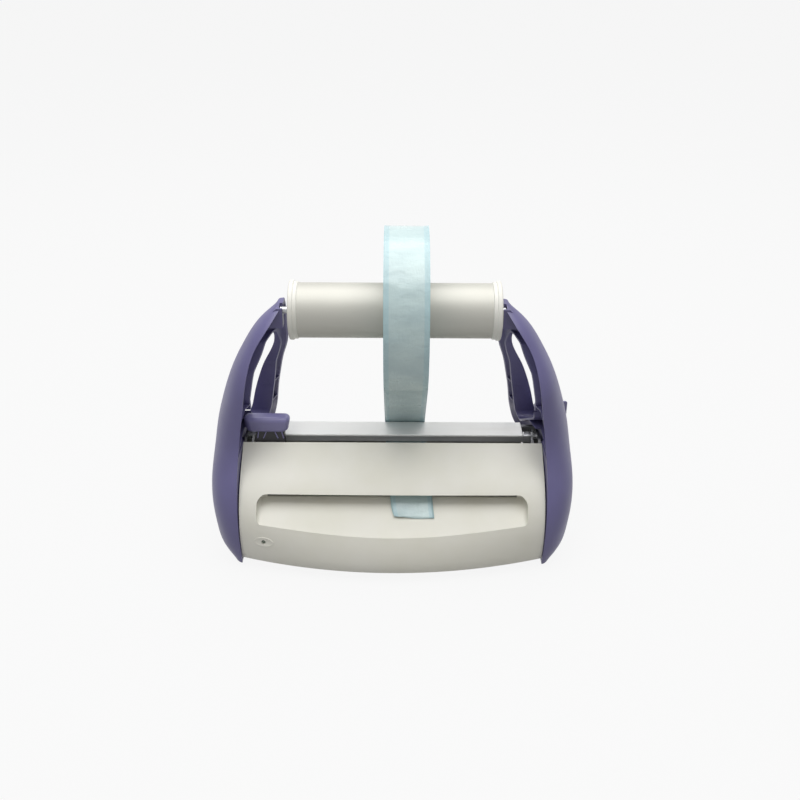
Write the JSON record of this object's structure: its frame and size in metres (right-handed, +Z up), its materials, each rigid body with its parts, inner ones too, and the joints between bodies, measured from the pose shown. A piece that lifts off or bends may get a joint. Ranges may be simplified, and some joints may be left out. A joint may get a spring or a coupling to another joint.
{
  "type": "pouch sealer",
  "caption": "Bench heat sealer for pouch film: side arms hold a roller and reel over a pressed front cover with hot jaws, an outlet ramp and a sliding cutter.",
  "frame": {"origin": "on the table under the middle of the bounding box", "axes": "+X to the user's right along the roller, +Y away from the user, +Z up"},
  "size_m": [0.4431, 0.2554, 0.3959],
  "materials": {
    "casing_plastic": "satin moulded violet ABS",
    "cover_plastic": "moulded warm white ABS",
    "deck_paint": "white powder coat",
    "knob_plastic": "satin moulded violet ABS",
    "black_plastic": "moulded black plastic",
    "steel": "bright zinc plated",
    "blade_steel": "ground",
    "bar_aluminium": "machined",
    "tube_aluminium": "satin anodised",
    "cap_plastic": "moulded cream plastic",
    "silicone": "soft silicone",
    "foot_rubber": "moulded",
    "tape": "coated glass cloth",
    "element": "flat resistance strip",
    "insulator": "phenolic laminate",
    "board": "glass-epoxy laminate with solder mask",
    "transformer_iron": "laminated and varnished",
    "spring_steel": "oiled spring wire",
    "light": "diffused lens",
    "core_board": "spiral wound board",
    "film": "clear film on paper, pale blue-green"
  },
  "bodies": {
    "machine": {"base_plate": "steel", "board_standoffs": "steel", "buzzer": "black_plastic", "casing_screws": "steel", "circuit_board": "board", "cutter_rail": "bar_aluminium", "deck_brackets": "steel", "deck_plate": "deck_paint", "fuse_holder": "black_plastic", "heater_bar": "bar_aluminium", "heater_tray": "steel", "heating_strip": "element", "hinge_pins": "steel", "insulating_blocks": "insulator", "left_casing": "casing_plastic", "left_side_plate": "steel", "mains_inlet": "black_plastic", "microswitch": "black_plastic", "non_stick_tape": "tape", "pouch_web": "film", "rear_cover": "cover_plastic", "relay": "black_plastic", "return_springs": "spring_steel", "right_casing": "casing_plastic", "right_side_plate": "steel", "rocker_switch_body": "black_plastic", "rubber_feet": "foot_rubber", "switch_pod": "casing_plastic", "thermostat": "transformer_iron", "transformer": "transformer_iron"},
    "press_lever": {"front_cover": "cover_plastic", "press_bar": "bar_aluminium", "silicone_pad": "silicone", "left_press_arm": "steel", "right_press_arm": "steel", "status_light": "light"},
    "cutter": {"cutter_carriage": "casing_plastic", "cutter_knob": "knob_plastic", "cutter_blade": "blade_steel"},
    "axle": {"roller_axle": "steel"},
    "roller": {"roller_tube": "tube_aluminium", "left_roller_cap": "cap_plastic", "right_roller_cap": "cap_plastic"},
    "reel": {"reel_core": "core_board", "pouch_reel": "film"},
    "rocker": {"power_rocker": "black_plastic"}
  },
  "joints": [
    {"name": "press_hinge", "type": "hinge", "parent": "machine", "child": "press_lever", "pos_m": [0, 0, 0.126], "axis": [1, 0, 0], "range_deg": [0, 3.3], "stiffness_Nm_per_rad": 4, "springref_deg": -14.32},
    {"name": "cutter_slide", "type": "slide", "parent": "machine", "child": "cutter", "axis": [1, 0, 0], "range_m": [0, 0.295], "deforming": ["pouch_web"]},
    {"name": "axle_lift", "type": "slide", "parent": "machine", "child": "axle", "axis": [0, 0, 1], "range_m": [0, 0.05]},
    {"name": "roller_spin", "type": "hinge", "parent": "axle", "child": "roller", "pos_m": [0, -0.006, 0.2984], "axis": [1, 0, 0], "continuous": true},
    {"name": "reel_spin", "type": "hinge", "parent": "roller", "child": "reel", "pos_m": [0.015, -0.006, 0.2984], "axis": [1, 0, 0], "continuous": true},
    {"name": "rocker_tilt", "type": "hinge", "parent": "machine", "child": "rocker", "pos_m": [0.2215, 0.063, 0.11], "axis": [0, 1, 0], "range_deg": [-7, 7]}
  ]
}
